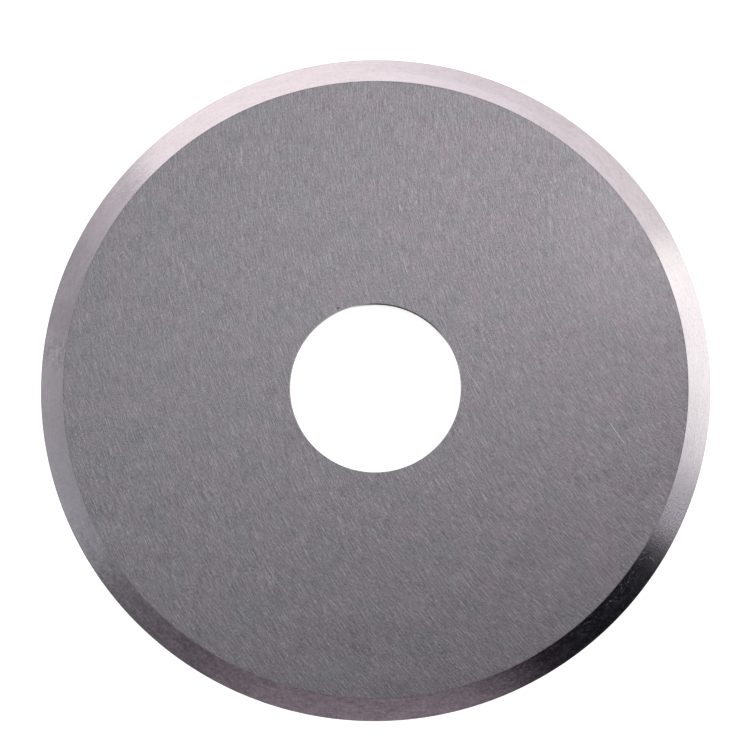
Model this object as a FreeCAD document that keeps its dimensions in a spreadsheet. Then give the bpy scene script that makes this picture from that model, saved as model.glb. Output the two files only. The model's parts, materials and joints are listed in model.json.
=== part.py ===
import FreeCAD, Part
import os
import Sketcher

# Rotary cutter blade: a thin disc of hardened tool steel with a plain round bore, clamped between
# two flanges on an arbor. A long, shallow bevel is ground on each face, and the two meet in the
# cutting edge halfway through the thickness.
# Millimetres. The origin is the centre of the bore on the lower face, and +Z runs along the arbor.

doc = FreeCAD.newDocument("RotaryCutterBlade")

# Driving dimensions
driving_dimensions = [
    ("outer_diameter", 100.0, "over the cutting edge"),
    ("bore_diameter", 25.4, "for a one inch arbor"),
    ("thickness", 1.0, "between the two flat faces"),
    ("bevel_width", 3.3, "of each bevel, along the radius"),
    ("edge_land", 0.04, "left standing between the two bevels, at the cutting edge"),
    ("bore_edge_break", 0.1, "sharp corner taken off each end of the bore"),
]
sizes = doc.addObject("Spreadsheet::Sheet", "Sizes")
for row, (name, value, meaning) in enumerate(driving_dimensions, start=1):
    sizes.set(f"A{row}", name)
    sizes.set(f"B{row}", str(value))
    sizes.set(f"C{row}", meaning)
    sizes.setAlias(f"B{row}", name)
doc.recompute()

# The blade is one piece of steel, so it is one body
blade = doc.addObject("PartDesign::Body", "Blade")
blade.Label = "blade"


def origin_plane(role):
    return next(feature for feature in blade.Origin.OriginFeatures if feature.Role == role)


def sketch_on(support, name):
    sketch = blade.newObject("Sketcher::SketchObject", name)
    sketch.AttachmentSupport = [(support, "")]
    sketch.MapMode = "FlatFace"
    return sketch


def drive(sketch, constraint, name, formula):
    index = sketch.addConstraint(constraint)
    sketch.renameConstraint(index, name)
    sketch.setExpression(f"Constraints.{name}", formula)


def circle_about_the_axis(name, formula):
    centre = FreeCAD.Vector(0, 0, 0)
    any_radius = 10
    sketch = sketch_on(origin_plane("XY_Plane"), name)
    circle = sketch.addGeometry(Part.Circle(centre, FreeCAD.Vector(0, 0, 1), any_radius))
    sketch.addConstraint(Sketcher.Constraint("Coincident", circle, 3, -1, 1))
    drive(sketch, Sketcher.Constraint("Diameter", circle, 2 * any_radius), "diameter", formula)
    return sketch


# The blank is a round, flat plate
blank = blade.newObject("PartDesign::Pad", "Blank")
blank.Profile = circle_about_the_axis("BlankOutline", "Sizes.outer_diameter")
blank.setExpression("Length", "Sizes.thickness")

# The bore goes straight through the plate
bore = blade.newObject("PartDesign::Pocket", "Bore")
bore.Profile = circle_about_the_axis("BoreOutline", "Sizes.bore_diameter")
bore.Type = "ThroughAll"
bore.Midplane = True

# The steel ground off above the upper bevel is a thin triangle, turned about the axis. Its corners
# are where the bevel starts on the face, the outer corner of the blank, and the cutting edge.
bevel_section = sketch_on(origin_plane("XZ_Plane"), "BevelSection")
START, OUTER_CORNER, EDGE = range(3)
rough_corners = [FreeCAD.Vector(4, 2, 0), FreeCAD.Vector(6, 2, 0), FreeCAD.Vector(6, 1, 0)]
for corner, next_corner in ((START, OUTER_CORNER), (OUTER_CORNER, EDGE), (EDGE, START)):
    bevel_section.addGeometry(Part.LineSegment(rough_corners[corner], rough_corners[next_corner]))
for side, next_side in ((0, 1), (1, 2), (2, 0)):
    bevel_section.addConstraint(Sketcher.Constraint("Coincident", side, 2, next_side, 1))
bevel_section.addConstraint(Sketcher.Constraint("Horizontal", START))
bevel_section.addConstraint(Sketcher.Constraint("Vertical", OUTER_CORNER))
drive(bevel_section, Sketcher.Constraint("DistanceX", -1, 1, OUTER_CORNER, 1, 6),
      "edge_radius", "Sizes.outer_diameter / 2")
drive(bevel_section, Sketcher.Constraint("DistanceY", -1, 1, OUTER_CORNER, 1, 2),
      "face_height", "Sizes.thickness")
drive(bevel_section, Sketcher.Constraint("DistanceX", START, 1, OUTER_CORNER, 1, 2),
      "bevel_width", "Sizes.bevel_width")
drive(bevel_section, Sketcher.Constraint("DistanceY", -1, 1, EDGE, 1, 1),
      "edge_height", "(Sizes.thickness + Sizes.edge_land) / 2")

upper_bevel = blade.newObject("PartDesign::Groove", "UpperBevel")
upper_bevel.Profile = bevel_section
upper_bevel.ReferenceAxis = (bevel_section, ["V_Axis"])
upper_bevel.Angle = 360

# The lower bevel is the upper one mirrored in the middle of the thickness
middle = blade.newObject("PartDesign::Plane", "MiddleOfThickness")
middle.AttachmentSupport = [(origin_plane("XY_Plane"), "")]
middle.MapMode = "FlatFace"
middle.setExpression("AttachmentOffset.Base.z", "Sizes.thickness / 2")

lower_bevel = blade.newObject("PartDesign::Mirrored", "LowerBevel")
lower_bevel.Originals = [upper_bevel]
lower_bevel.MirrorPlane = (middle, [""])
blade.Tip = lower_bevel
doc.recompute()


def is_bore_corner(edge):
    return isinstance(edge.Curve, Part.Circle) and abs(2 * edge.Curve.Radius - sizes.bore_diameter) < 1e-6


# Both ends of the bore are deburred, so that the blade slides onto its arbor without scoring it
bore_corners = [f"Edge{number}" for number, edge in enumerate(lower_bevel.Shape.Edges, start=1)
                if is_bore_corner(edge)]
edge_break = blade.newObject("PartDesign::Chamfer", "BoreEdgeBreak")
edge_break.Base = (lower_bevel, bore_corners)
edge_break.setExpression("Size", "Sizes.bore_edge_break")
doc.recompute()

# Nothing is written unless every feature was made, every cut took steel away, and the body is sound
for item in doc.Objects:
    if "Invalid" in item.State or "Error" in item.State:
        raise RuntimeError(f"{item.Name} failed: {item.State}")
features = [blank, bore, upper_bevel, lower_bevel, edge_break]
for before, after in zip(features, features[1:]):
    if after.Shape.Volume >= before.Shape.Volume:
        raise RuntimeError(f"{after.Name} took nothing away")
if blade.Shape.isNull() or not blade.Shape.isValid() or len(blade.Shape.Solids) != 1:
    raise RuntimeError("the blade is not one sound solid")

os.makedirs("parts", exist_ok=True)
blade.Shape.exportStep(f"parts/{blade.Label}.step")
print(f"{blade.Label}: {blade.Shape.Volume:.1f} mm3, box {blade.Shape.BoundBox}")
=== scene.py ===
import json
import math
import bmesh
import bpy
from mathutils import Matrix, Vector


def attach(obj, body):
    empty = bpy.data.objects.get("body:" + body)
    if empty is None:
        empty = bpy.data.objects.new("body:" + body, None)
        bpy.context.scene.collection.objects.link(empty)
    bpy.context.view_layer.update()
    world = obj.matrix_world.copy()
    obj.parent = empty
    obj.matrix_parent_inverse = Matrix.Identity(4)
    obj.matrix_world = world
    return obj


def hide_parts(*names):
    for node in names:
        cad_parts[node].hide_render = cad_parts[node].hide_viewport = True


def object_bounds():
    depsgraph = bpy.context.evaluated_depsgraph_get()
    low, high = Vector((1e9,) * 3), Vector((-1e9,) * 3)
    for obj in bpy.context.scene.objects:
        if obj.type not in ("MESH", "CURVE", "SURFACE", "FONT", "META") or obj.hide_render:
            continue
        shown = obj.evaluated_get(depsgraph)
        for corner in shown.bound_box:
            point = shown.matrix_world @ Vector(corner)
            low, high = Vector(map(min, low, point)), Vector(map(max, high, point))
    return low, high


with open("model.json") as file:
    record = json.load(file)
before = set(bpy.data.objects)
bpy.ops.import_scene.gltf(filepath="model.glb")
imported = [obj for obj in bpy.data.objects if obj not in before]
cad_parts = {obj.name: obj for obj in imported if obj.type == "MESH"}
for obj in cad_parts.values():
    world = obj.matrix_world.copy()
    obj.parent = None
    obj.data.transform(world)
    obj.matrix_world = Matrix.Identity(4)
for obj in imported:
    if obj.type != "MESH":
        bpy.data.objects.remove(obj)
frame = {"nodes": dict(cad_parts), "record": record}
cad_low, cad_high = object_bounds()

# The camera
# A long lens looks almost straight down on the blade, leaning a little towards the bottom of the
# picture. It is aimed just above and beside the middle of the bore, so that the blade sits low.
sensor_width = 36.0
picture_width = 750
pixels_per_metre = 6701.6
camera_distance = 1.151
camera_tilt = math.radians(9.37)
far_side_bearing = math.radians(98.39)
aim_above_bore = 1.907e-3
aim_left_of_bore = 0.058e-3

bore_centre = Vector((0, 0, cad_high.z))
tilt_axis = Vector((math.sin(far_side_bearing), -math.cos(far_side_bearing), 0))
turned = Matrix.Rotation(camera_tilt, 4, tilt_axis)
raised = Matrix.Rotation(math.atan(aim_above_bore / camera_distance), 4, "X")
swung = Matrix.Rotation(math.atan(aim_left_of_bore / camera_distance), 4, "Y")
stand = bore_centre + turned.to_3x3() @ Vector((0, 0, camera_distance))

lens = bpy.data.cameras.new("camera")
lens.sensor_width = sensor_width
lens.lens = pixels_per_metre * camera_distance / picture_width * sensor_width
lens.clip_start = 0.01
lens.clip_end = 100
camera = bpy.data.objects.new("camera", lens)
camera.matrix_world = Matrix.Translation(stand) @ turned @ raised @ swung
bpy.context.scene.collection.objects.link(camera)
bpy.context.scene.camera = camera

# The blade's form
# One disc of hardened steel. Each face is flat from the deburred bore out to the ground bevel, and
# the two bevels meet in the cutting edge. Its corners are crisp, but none is sharper than the wheel
# that ground it could leave.
MILLIMETRE = 1e-3
bore_corner = 0.02 * MILLIMETRE
bevel_corner = 0.03 * MILLIMETRE
edge_corner = 0.006 * MILLIMETRE
segments = 720
corner_steps = 3
rings_on_face = 6
rings_on_bevel = 3

GROUND, POLISHED, EDGE, BORE = range(4)

# The blade's own sizes, read from its solid and from the mount in its bore.
tolerance = 1e-6
solid = frame["nodes"]["blade"].data
bore_mount = next(mount for mount in frame["record"]["mounts"] if mount["name"] == "bore")
bore_radius = bore_mount["dims"]["r_mm"] * MILLIMETRE
thickness = cad_high.z - cad_low.z
middle = (cad_low.z + cad_high.z) / 2
edge_break = (thickness - bore_mount["dims"]["length_mm"] * MILLIMETRE) / 2
outer_radius = max(cad_high.x, cad_high.y)
reach_and_height = [(math.hypot(v.co.x, v.co.y), v.co.z) for v in solid.vertices]
face_radius = max(reach for reach, height in reach_and_height if height > cad_high.z - tolerance)
land_top = max(height for reach, height in reach_and_height if reach > outer_radius - tolerance)

# The upper half's section from the middle of the bore's wall to the middle of the edge: each corner,
# how far it is rounded, and the finish of what follows it.
corners = [
    (Vector((bore_radius, middle)), 0, BORE),
    (Vector((bore_radius, cad_high.z - edge_break)), bore_corner, BORE),
    (Vector((bore_radius + edge_break, cad_high.z)), bore_corner, GROUND),
    (Vector((face_radius, cad_high.z)), bevel_corner, POLISHED),
    (Vector((outer_radius, land_top)), edge_corner, EDGE),
    (Vector((outer_radius, middle)), 0, EDGE),
]


def facing(start, end):
    """The way that the steel faces between two points of the section."""
    run = (end - start).normalized()
    return Vector((-run.y, run.x))


first_corner = corners[0][0]
last_corner = corners[-1][0]
section = [(first_corner, facing(first_corner, corners[1][0]), BORE)]
for index in range(1, len(corners) - 1):
    corner, rounding, finish = corners[index]
    before = corners[index - 1][0]
    after = corners[index + 1][0]
    back = (before - corner).normalized()
    on = (after - corner).normalized()
    set_back = rounding / math.tan(back.angle(on) / 2)
    arc_start = corner + back * set_back
    arc_end = corner + on * set_back
    for step in range(corner_steps + 1):
        share = step / corner_steps
        point = arc_start.lerp(corner, share).lerp(corner.lerp(arc_end, share), share)
        way = facing(before, corner).lerp(facing(corner, after), share).normalized()
        section.append((point, way, finish))
    rings_on_run = {GROUND: rings_on_face, POLISHED: rings_on_bevel}.get(finish, 1)
    for step in range(1, rings_on_run):
        section.append((arc_end.lerp(after, step / rings_on_run), facing(corner, after), finish))
section.append((last_corner, facing(corners[-2][0], last_corner), EDGE))

# The lower half mirrors it, back from the edge to the bore.
upper_rings = len(section)
for index in range(upper_rings - 2, 0, -1):
    point, way, finish = section[index]
    below = Vector((point.x, 2 * middle - point.y))
    section.append((below, Vector((way.x, -way.y)), section[index - 1][2]))

form = bmesh.new()
rings = []
ways = []
for point, way, finish in section:
    ring = []
    for segment in range(segments):
        angle = 2 * math.pi * segment / segments
        ring.append(form.verts.new((point.x * math.cos(angle), point.x * math.sin(angle), point.y)))
        ways.append((way.x * math.cos(angle), way.x * math.sin(angle), way.y))
    rings.append(ring)

# The two sides lie in opposite corners of one page as discs, with the bore's wall rolled out inside
# each and the edge outside it, so that a texture baked from the finishes keeps the grinding lines.
# A broken edge is longer on its slant than it is wide, by about 0.4 of its width.
disc_on_page = 0.288
disc_centre = 0.2929
slant_excess = 0.4 * edge_break
unrolled = [bore_radius - (thickness / 2 - edge_break) - slant_excess]
for index in range(1, upper_rings):
    unrolled.append(unrolled[-1] + (section[index][0] - section[index - 1][0]).length)
unrolled += unrolled[-2:0:-1] + unrolled[:1]
page_scale = disc_on_page / max(unrolled)
page = form.loops.layers.uv.new("OFBake")
for index in range(len(section)):
    ring = rings[index]
    next_ring = rings[(index + 1) % len(section)]
    upper = index < upper_rings - 1
    centre = disc_centre if upper else 1 - disc_centre
    hand = 1 if upper else -1
    for segment in range(segments):
        after = (segment + 1) % segments
        face = form.faces.new((ring[segment], next_ring[segment], next_ring[after], ring[after]))
        face.material_index = section[index][2]
        face.smooth = True
        places = ((index, segment), (index + 1, segment), (index + 1, segment + 1), (index, segment + 1))
        for loop, (row, column) in zip(face.loops, places):
            angle = hand * 2 * math.pi * column / segments
            reach = unrolled[row] * page_scale
            loop[page].uv = (centre + reach * math.cos(angle), centre + reach * math.sin(angle))

mesh = bpy.data.meshes.new("blade_finished")
form.to_mesh(mesh)
form.free()
mesh.normals_split_custom_set_from_vertices(ways)
blade = bpy.data.objects.new("blade_finished", mesh)
bpy.context.scene.collection.objects.link(blade)
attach(blade, "root")
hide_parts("blade")


# The ground faces
# The flats are ground with the rim of a cup wheel, which leaves fine, short lines along wide arcs
# about a point beyond the edge. The few longer, brighter scratches and two pits come from handling.
class Shade:
    """One socket of a material's nodes. Arithmetic on it adds Math nodes, and node() adds any other."""

    def __init__(self, tree, socket=None):
        self.tree = tree
        self.socket = socket

    def node(self, kind, settings=None, sockets=None, output=0):
        made = self.tree.nodes.new(kind)
        for name, value in (settings or {}).items():
            setattr(made, name, value)
        for name, value in (sockets or {}).items():
            if isinstance(value, Shade):
                self.tree.links.new(value.socket, made.inputs[name])
            else:
                made.inputs[name].default_value = value
        return Shade(self.tree, made.outputs[output])

    def into(self, node, name):
        self.tree.links.new(self.socket, node.inputs[name])

    def math(self, operation, *others):
        return self.node("ShaderNodeMath", {"operation": operation}, dict(enumerate((self, *others))))

    def step_between(self, low, high):
        """Rises smoothly from 0 at low to 1 at high, or falls where high is the lower."""
        return self.node("ShaderNodeMapRange", {"interpolation_type": "SMOOTHSTEP"},
                         {"Value": self, "From Min": low, "From Max": high})

    def __add__(self, other):
        return self.math("ADD", other)

    def __sub__(self, other):
        return self.math("SUBTRACT", other)

    def __rsub__(self, other):
        return self.node("ShaderNodeMath", {"operation": "SUBTRACT"}, {0: other, 1: self})

    def __mul__(self, other):
        return self.math("MULTIPLY", other)

    def __truediv__(self, other):
        return self.math("DIVIDE", other)

    __radd__ = __add__
    __rmul__ = __mul__


def new_finish(name):
    """A material for the next of the blade's finishes, which are made in their numbers' order."""
    material = bpy.data.materials.new(name)
    material.use_nodes = True
    mesh.materials.append(material)
    return material, Shade(material.node_tree)


def own_axes(shade):
    """X, Y and Z in metres from the object's own origin."""
    at = shade.node("ShaderNodeTexCoord", output="Object")
    return [shade.node("ShaderNodeSeparateXYZ", sockets={"Vector": at}, output=axis) for axis in "XYZ"]


def place_on_blade(shade):
    """X and Y in millimetres from the bore's middle, and a shift that gives each side its own noise."""
    x, y, z = own_axes(shade)
    upper_shift = 17
    return x / MILLIMETRE, y / MILLIMETRE, z.math("GREATER_THAN", middle) * upper_shift


def noise(shade, x, y, z, detail=1.0):
    """Smooth noise over x and y, about 1 from crest to crest. Another z gives another pattern."""
    at = shade.node("ShaderNodeCombineXYZ", sockets={"X": x, "Y": y, "Z": z})
    return shade.node("ShaderNodeTexNoise", {"noise_dimensions": "3D"},
                      {"Vector": at, "Scale": 1.0, "Detail": detail, "Roughness": 0.5})


def between(shade, amount, dark, light):
    """A colour between two, as the amount goes from 0 to 1."""
    dark = dark if isinstance(dark, Shade) else (*dark, 1)
    light = light if isinstance(light, Shade) else (*light, 1)
    return shade.node("ShaderNodeMix", {"data_type": "RGBA"},
                      {"Factor": amount, "A": dark, "B": light}, output=2)


def bumps(shade, height, depth):
    """The way that the steel faces, where 1 of height stands so many metres proud."""
    return shade.node("ShaderNodeBump", sockets={"Height": height, "Strength": 1.0, "Distance": depth})


def shaded(material, color, roughness, normal=None, metallic=1.0):
    bsdf = material.node_tree.nodes["Principled BSDF"]
    for name, value in (("Base Color", color), ("Roughness", roughness), ("Normal", normal),
                        ("Metallic", metallic)):
        if isinstance(value, Shade):
            value.into(bsdf, name)
        elif value is not None:
            bsdf.inputs[name].default_value = value


def ground_lines(shade, x, y, side, centre, width, length, pattern):
    """Streaks along arcs about the wheel's centre, of about that width and length in millimetres."""
    to_x = centre[0] - x
    to_y = centre[1] - y
    out = (to_x * to_x + to_y * to_y).math("SQRT")
    along = (to_y.math("ARCTAN2", to_x) - math.atan2(centre[1], centre[0])) * out
    return noise(shade, out / width, along / length, side + pattern)


def scratch(shade, x, y, start, end, width):
    """A straight mark between two points, 1 along its middle and 0 beyond its width."""
    run = Vector(end) - Vector(start)
    along_x, along_y = run.normalized()
    from_x = x - (start[0] + end[0]) / 2
    from_y = y - (start[1] + end[1]) / 2
    along = (from_x * along_x + from_y * along_y).math("ABSOLUTE")
    across = (from_y * along_x - from_x * along_y).math("ABSOLUTE")
    return across.step_between(width, 0) * along.step_between(run.length / 2, run.length / 3)


def spot(shade, x, y, centre, radius):
    """1 over the middle third of a round spot and 0 beyond its radius."""
    from_x = x - centre[0]
    from_y = y - centre[1]
    return (from_x * from_x + from_y * from_y).math("SQRT").step_between(radius, radius / 3)


material, shade = new_finish("ground_face")
x, y, side = place_on_blade(shade)
upper = side.math("GREATER_THAN", 1)
face_edge = face_radius / MILLIMETRE

# Each pass of the wheel has its own centre, and its lines have their own width, length and pattern.
# It bit deeper towards the near side, and the crests that it left are sharper than the hollows.
short_lines = ground_lines(shade, x, y, side, (111.8, 51.0), 0.15, 0.48, 1.0)
crossing_lines = ground_lines(shade, x, y, side, (109.0, 57.0), 0.15, 1.8, 5.0)
long_lines = ground_lines(shade, x, y, side, (114.6, 44.5), 0.15, 3.8, 9.0)
bright_lines = ground_lines(shade, x, y, side, (107.0, 60.0), 0.12, 2.6, 21.0).step_between(0.66, 0.82)
grit = noise(shade, x / 0.15, y / 0.15, side + 25.0, detail=0.0)
bite = y.step_between(8.0, -24.0) * 0.48 + 1.92
lines = (short_lines * 0.36 + crossing_lines * 0.37 + long_lines * 0.27 - 0.5) * bite
lines = lines + lines * lines * 0.8 + 0.5

# Softer changes over the face: its general tone, a warm tarnish that grows to the right, a painted
# highlight at the upper right of the top face, and a darker line just inside the bevel.
cloud = noise(shade, x / 5.0, y / 5.0, side + 13.0, detail=3.0)
tarnish = noise(shade, x / 4.5, y / 4.5, side + 17.0, detail=2.0).step_between(0.22, 0.78) + x * 0.006
painted_highlight = spot(shade, x, y, (40.0, 23.0), 19.0) * upper
# Darker just inside the bevel.
dark_line_inside_bevel = (x * x + y * y).math("SQRT").step_between(face_edge - 0.22, face_edge - 0.08)

# Each scratch has its start, its end and its brightness. The brighter ones are also the broader.
scratches = [
    ((34.9, -5.3), (37.4, -8.8), 0.85),
    ((-20.3, 37.4), (-20.0, 33.3), 0.38),
    ((3.9, 20.6), (4.8, 17.0), 0.38),
    ((-29.2, 19.7), (-28.1, 14.9), 0.36),
    ((-16.3, -26.5), (-14.2, -29.7), 0.38),
    ((-34.3, -6.9), (-32.3, -11.4), 0.30),
    ((13.7, 2.5), (15.9, -0.7), 0.38),
    ((25.6, -10.8), (28.1, -13.5), 0.38),
]
handling = 0.0
for start, end, brightness in scratches:
    mark = scratch(shade, x, y, start, end, 0.06 + 0.09 * brightness) * brightness
    handling = mark.math("MAXIMUM", handling)
handling = handling * upper

# Each pit has its centre and its radius.
pits = [((-5.64, 12.08), 0.22), ((12.0, 4.25), 0.20)]
pit = 0.0
for centre, size in pits:
    pit = spot(shade, x, y, centre, size).math("MAXIMUM", pit)
pit = pit * upper

tone = lines * 0.94 + 0.03 + (grit - 0.5) * bite * 0.32 + (cloud - 0.5) * 0.18 + bright_lines * 0.30
tone = tone + painted_highlight * 0.08 + handling - pit * 0.55 - dark_line_inside_bevel * 0.12
clean = between(shade, tone, (0.162, 0.160, 0.172), (0.770, 0.760, 0.815))
tarnished = between(shade, tone, (0.178, 0.160, 0.178), (0.846, 0.760, 0.851))
color = between(shade, tarnish, clean, tarnished)
roughness = 0.34 + (cloud - 0.5) * 0.08 - handling * 0.15
height = lines - pit * 2.0 - handling
shaded(material, color, roughness, bumps(shade, height, 3e-6))


# The bevels
# The rim is ground and then polished bright, so each bevel mirrors the room. Polishing has left it
# smoothest at one side and most mottled at the other, with a haze and specks that show where it is dark.
def around(x, y, azimuth, beyond, within):
    """1 within so many degrees of an azimuth on the blade, and 0 beyond so many."""
    toward = math.radians(azimuth)
    nearness = (x * math.cos(toward) + y * math.sin(toward)) / (x * x + y * y).math("SQRT")
    return nearness.step_between(math.cos(math.radians(beyond)), math.cos(math.radians(within)))


material, shade = new_finish("polished_bevel")
x, y, side = place_on_blade(shade)
upper = side.math("GREATER_THAN", 1)
radius = (x * x + y * y).math("SQRT")
outer_edge = outer_radius / MILLIMETRE
bevel_width = outer_edge - face_edge
bevel_middle = (face_edge + outer_edge) / 2
round_blade = y.math("ARCTAN2", x) * outer_edge

# Traces of the wheel run round the bevel under the grain and the mottling that polishing left. They
# show most where it is worn, along the near side and in one patch at the left.
lines = noise(shade, radius / 0.14, round_blade / 1.6, side + 3.0, detail=2.0)
grain = noise(shade, x / 0.25, y / 0.25, side + 7.0)
mottle = noise(shade, x / 0.5, y / 0.5, side + 23.0, detail=2.0)
cloud = noise(shade, radius / 1.1, round_blade / 3.5, side + 11.0, detail=3.0)
worn = around(x, y, 262, 70, 45).math("MAXIMUM", spot(shade, x, y, (-47.5, 5.4), 3.2))
stipple = around(x, y, 333, 9, 4)
haze = mottle.step_between(0.44, 0.74) * 0.6 + lines.step_between(0.45, 0.75) * 0.4

# Specks lie over one stretch of the bevel, most of them near its inner edge, and fainter ones over the
# stippled stretch beside it. Each of the largest has its centre and its radius.
speck = noise(shade, x / 0.26, y / 0.26, side + 29.0, detail=0.0).step_between(0.68, 0.76)
speck = speck * radius.step_between(outer_edge - 0.6, face_edge + 0.3) * around(x, y, 319, 16, 6)
speck = speck + grain.step_between(0.5, 0.8) * stipple * 0.5
largest_specks = [((40.79, -22.63), 0.26), ((36.61, -29.67), 0.15), ((41.9, -23.2), 0.14)]
for centre, size in largest_specks:
    speck = speck.math("MAXIMUM", spot(shade, x, y, centre, size) * upper)

# Each nick has its start, its end and its width.
nicks = [
    ((40.75, -25.5), (41.55, -26.1), 0.07),
    ((-17.7, -44.45), (-15.65, -45.05), 0.09),
    ((-15.95, -45.15), (-13.85, -45.4), 0.09),
]
nick = 0.0
for start, end, width in nicks:
    nick = scratch(shade, x, y, start, end, width).math("MAXIMUM", nick)
nick = nick * upper

# The last of the bevel before the edge is rougher, with a painted shade that is darkest at the left.
dull_rim_and_painted_shade = radius.step_between(outer_edge - 0.15, outer_edge) * (0.5 - x / (2 * outer_edge))

# Painted reflection: the bevel is lighter towards its outer or its inner edge, by an amount that changes
# round the blade, some stretches are lighter or darker as a whole, and a painted highlight lies near the
# top. Each stretch has its azimuth, how many degrees on it ends, within how many it is full, and its
# lift.
outward = (radius - bevel_middle) / bevel_width
lean = (x * 0.5 + y * 0.87) / outer_edge
stipple_and_painted_reflection = outward * (0.23 - lean * 0.45 - around(x, y, 145, 18, 6) * 0.7) * (1.0 - worn * 0.45)
stipple_and_painted_reflection = stipple_and_painted_reflection + (grain - 0.5) * stipple * 3.4
painted_reflection_stretches = [(143, 16, 5, 0.15), (167, 3.5, 1, -0.30), (190, 11, 5, -0.18), (221, 9, 4, -0.18)]
for azimuth, beyond, within, lift in painted_reflection_stretches:
    stipple_and_painted_reflection = stipple_and_painted_reflection + around(x, y, azimuth, beyond, within) * lift
top_highlight_fade = (radius + cloud * 1.2).step_between(bevel_middle + 0.05, bevel_middle + 0.55)
painted_top_highlight = around(x, y, 76, 20, 8) * (0.34 - top_highlight_fade * 0.26)

tone = (cloud * 0.3 + lines * 0.35 + mottle * 0.35 - 0.5) * (worn * 2.0 + 2.0) + stipple_and_painted_reflection + painted_top_highlight + 0.5
dark = between(shade, worn, (0.700, 0.640, 0.663), (0.540, 0.490, 0.510))
light = between(shade, worn, (0.955, 0.877, 0.917), (1.000, 0.925, 0.965))
polished = between(shade, tone, dark, light)
# A painted cool tint of reflection over one stretch at the left.
painted_cool_reflection = around(x, y, 203, 20, 7) * 0.12
polished = between(shade, painted_cool_reflection, polished, (0.55, 0.76, 0.79))
color = between(shade, dull_rim_and_painted_shade * 0.4, polished, (0.38, 0.385, 0.39))
roughness = 0.12 + (cloud - 0.5) * 0.04 + dull_rim_and_painted_shade * 0.1
height = lines * 0.5 + grain * 1.4 + mottle * 0.8 + cloud * 0.8
metallic = 1.0 - haze * 0.07 - speck * 0.3 - nick * 0.5
shaded(material, color, roughness, bumps(shade, height, 1.2e-6), metallic)

# The cutting edge
# The land left between the two bevels is too narrow to polish, so it keeps the wheel's dull lines.
material, shade = new_finish("cutting_edge")
x, y, side = place_on_blade(shade)
round_blade = y.math("ARCTAN2", x) * outer_edge
lines = noise(shade, round_blade / 0.12, side, 1.0, detail=3.0)
color = between(shade, lines, (0.34, 0.325, 0.335), (0.62, 0.60, 0.61))
shaded(material, color, 0.25 + lines * 0.2)

# The bore
# The wall was bored, so its marks run round it. It is bright steel except along one side, where it and
# its broken corners carry a painted shade that makes them dark and dull.
material, shade = new_finish("bore_wall")
material.node_tree.nodes["Principled BSDF"].inputs["Specular IOR Level"].default_value = 0
x, y, z = own_axes(shade)
round_bore = y.math("ARCTAN2", x) * (bore_radius / MILLIMETRE)
half_wall = thickness / 2 - edge_break
lines = noise(shade, z / MILLIMETRE / 0.05, round_bore / 2.5, 4.0, detail=2.0)
cloud = noise(shade, z / MILLIMETRE / 0.6, round_bore / 3.0, 9.0)
wall = (z - middle).math("ABSOLUTE").step_between(half_wall + 0.02 * MILLIMETRE, half_wall)
painted_shade_side = around(x, y, 68, 42, 16)
painted_shade_color = between(shade, lines * 0.6 + cloud * 0.4, (0.10, 0.096, 0.10), (0.36, 0.35, 0.36))
bare = between(shade, wall, (0.62, 0.60, 0.61), (0.95, 0.93, 0.94))
color = between(shade, painted_shade_side, bare, painted_shade_color)
shaded(material, color, 0.2 + painted_shade_side * 0.3, bumps(shade, lines, 4e-6), 1.0 - painted_shade_side)


# The floor
# A plain white sheet under the blade. It shows white to the camera and to the steel, and still takes
# the blade's shadow.
def stage_sheet(name, size, centre, turn, material):
    half_x, half_y = size[0] / 2, size[1] / 2
    outline = [(-half_x, -half_y, 0), (half_x, -half_y, 0), (half_x, half_y, 0), (-half_x, half_y, 0)]
    sheet = bpy.data.meshes.new(name)
    sheet.from_pydata(outline, [], [(0, 1, 2, 3)])
    sheet.materials.append(material)
    made = bpy.data.objects.new(name, sheet)
    made.matrix_world = Matrix.Translation(centre) @ Matrix.Rotation(turn, 4, "Z")
    bpy.context.scene.collection.objects.link(made)
    return made


def seen_white(shade):
    """1 where a ray shows the surface to the camera, to steel or through glass, and 0 otherwise."""
    seen = 0.0
    for kind in ("Camera", "Glossy", "Transmission"):
        seen = shade.node("ShaderNodeLightPath", output=f"Is {kind} Ray").math("MAXIMUM", seen)
    return seen


floor_width = 6
gap_under_blade = 1e-5
paper = bpy.data.materials.new("white_paper")
paper.use_nodes = True
bsdf = paper.node_tree.nodes["Principled BSDF"]
bsdf.inputs["Base Color"].default_value = (0.86, 0.86, 0.86, 1)
bsdf.inputs["Roughness"].default_value = 0.9
bsdf.inputs["Specular IOR Level"].default_value = 0.1
bsdf.inputs["Emission Strength"].default_value = 1.0
glow = seen_white(Shade(paper.node_tree)) * 0.8
glow.into(bsdf, "Emission Color")
stage_sheet("floor", (floor_width, floor_width), (0, 0, cad_low.z - gap_under_blade), 0, paper)

# The studio
# White walls all round, a dark ceiling over the blade, and soft panels hung under it: a wide softbox
# beyond the blade, a strip to its right and dimmer reflectors round the rest.
world = bpy.data.worlds.new("white_room")
bpy.context.scene.world = world
world.use_nodes = True
background = world.node_tree.nodes["Background"]
background.inputs["Strength"].default_value = 1.0
brightness = seen_white(Shade(world.node_tree)) * 0.4 + 0.6
brightness.into(background, "Color")

panel_height = 0.45
panel_gap = 0.001


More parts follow.
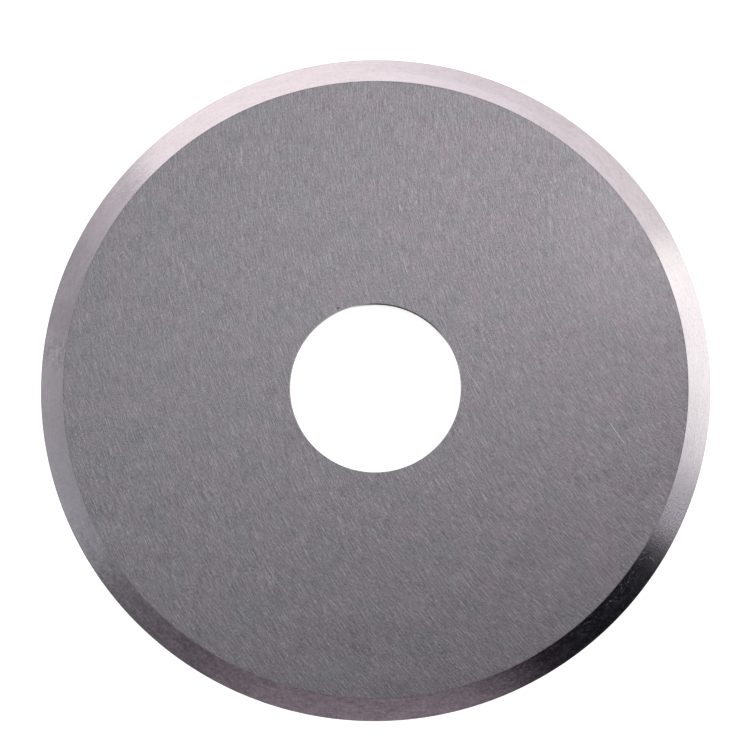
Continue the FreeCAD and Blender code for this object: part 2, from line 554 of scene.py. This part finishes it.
def panel(name, centre, half_size, turn, feather, light, layer):
    """A lit or dark sheet with soft edges, hung over the blade. The camera doesn't see it."""
    material = bpy.data.materials.new(name)
    material.use_nodes = True
    shade = Shade(material.node_tree)
    mask = 1.0
    for away, half, soft in zip(own_axes(shade), half_size, feather):
        mask = away.math("ABSOLUTE").step_between(half + soft / 2, half - soft / 2) * mask
    lit = shade.node("ShaderNodeEmission", sockets={"Color": (*light, 1), "Strength": 1.0})
    clear = shade.node("ShaderNodeBsdfTransparent")
    mixed = shade.node("ShaderNodeMixShader", sockets={0: mask, 1: clear, 2: lit})
    mixed.into(material.node_tree.nodes["Material Output"], "Surface")
    size = [2 * half + soft for half, soft in zip(half_size, feather)]
    place = Vector((*centre, panel_height - layer * panel_gap))
    made = stage_sheet(name, size, place, math.radians(turn), material)
    made.visible_camera = False


# Each panel's centre and half size in metres, its turn in degrees, how wide its soft edges are, and
# its light. Each hangs just under the one before it.
hung = [
    ("ceiling", (0, 0), (0.6, 0.6), 0, (0.01, 0.01), (0.003, 0.004, 0.006)),
    ("softbox", (0.017, 0.370), (0.083, 0.329), 113, (0.018, 0.295), (1.08, 1.04, 1.05)),
    ("strip", (0.250, 0.106), (0.082, 0.085), 98, (0.034, 0.078), (1.31, 1.33, 1.30)),
    ("left_reflector", (-0.148, 0.073), (0.110, 0.109), -37.5, (0.009, 0.011), (0.373, 0.370, 0.396)),
    ("lower_reflector", (0.002, -0.127), (0.126, 0.036), -17, (0.145, 0.040), (0.228, 0.200, 0.227)),
    ("top_light", (0.047, 0.118), (0.032, 0.111), -69.5, (0.020, 0.146), (1.66, 1.67, 1.62)),
    ("screen", (0.141, 0.252), (0.069, 0.155), -75, (0.006, 0.009), (0.79, 0.77, 0.78)),
    ("right_reflector", (0.172, 0.027), (0.011, 0.047), -1.5, (0.012, 0.008), (0.61, 0.62, 0.67)),
]
for layer, (name, centre, half_size, turn, feather, light) in enumerate(hung):
    panel(name, centre, half_size, turn, feather, light, layer)

bpy.context.scene.view_settings.view_transform = "Standard"
